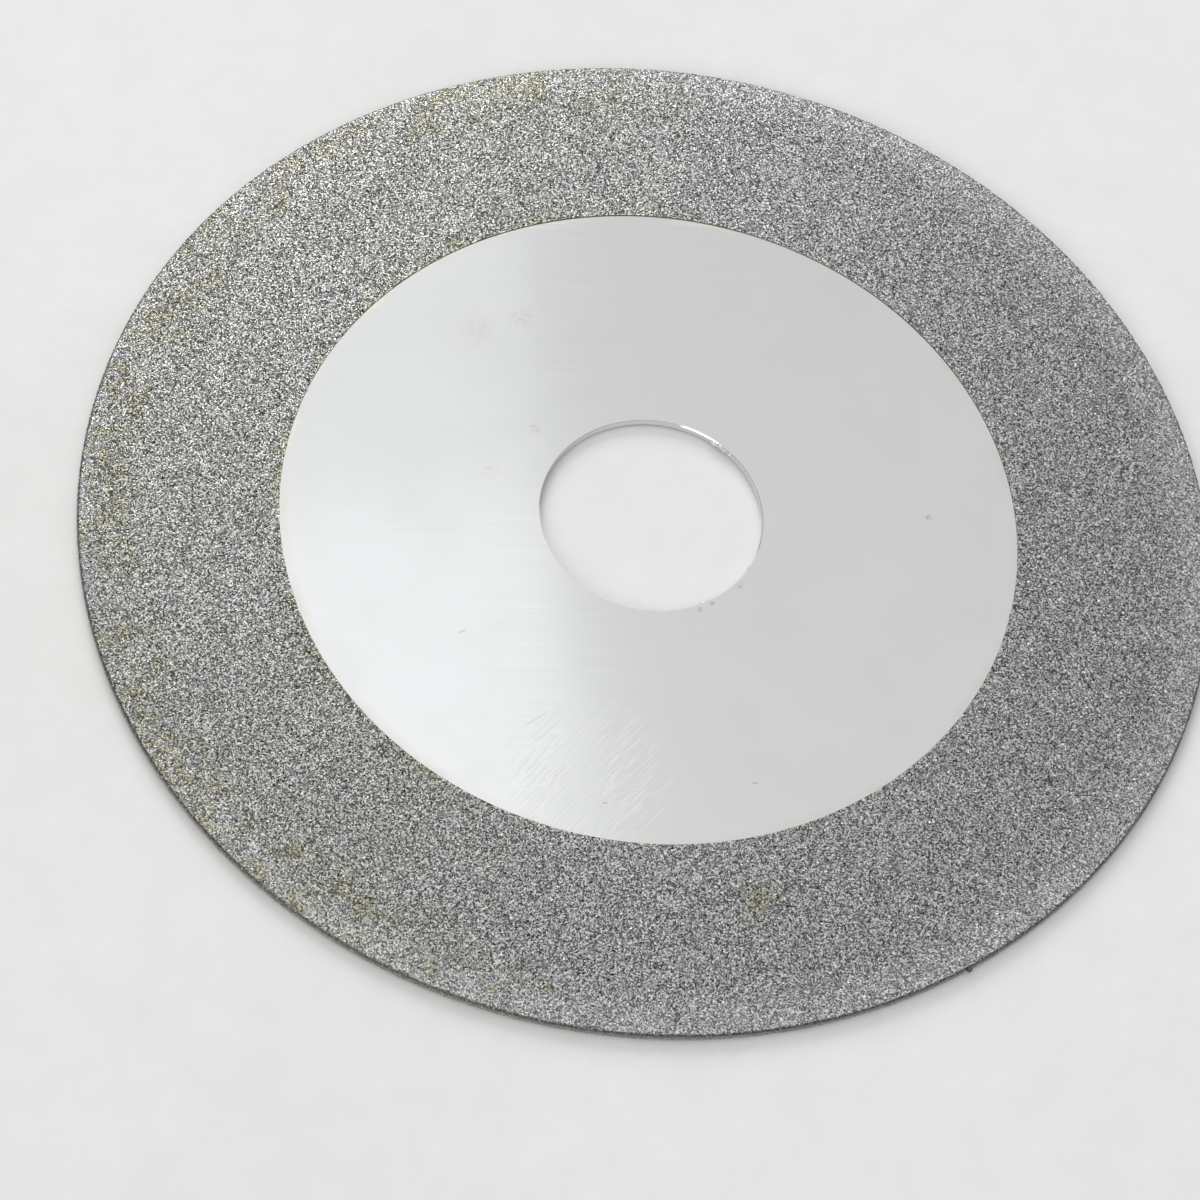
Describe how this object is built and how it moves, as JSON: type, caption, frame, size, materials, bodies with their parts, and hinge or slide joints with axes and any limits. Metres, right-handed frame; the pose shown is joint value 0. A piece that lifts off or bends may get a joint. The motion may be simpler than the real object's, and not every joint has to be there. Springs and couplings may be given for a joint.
{
  "type": "diamond grinding wheel",
  "caption": "Thin flat steel wheel with a plain centre bore, a polished middle and a nickel-bonded diamond band on both faces and the rim.",
  "frame": {"origin": "where the bore axis meets the plane that the wheel's back rests on", "axes": "+Z along the bore axis, out of the front face; X and Y in the plane of the wheel"},
  "size_m": [0.1016, 0.1016, 0.0011],
  "materials": {
    "polished_steel": "ground and polished bright, with fine straight brush lines",
    "nickel_plate": "electroplated nickel, satin and finely knobbly, faintly stained olive near the rim",
    "diamond_grit": "coarse crystals with bright facets, set in the nickel"
  },
  "bodies": {
    "root": {"steel_core": "polished_steel", "nickel_bond": "nickel_plate", "front_diamond_grit": "diamond_grit", "rim_diamond_grit": "diamond_grit", "back_diamond_grit": "diamond_grit"}
  },
  "joints": []
}
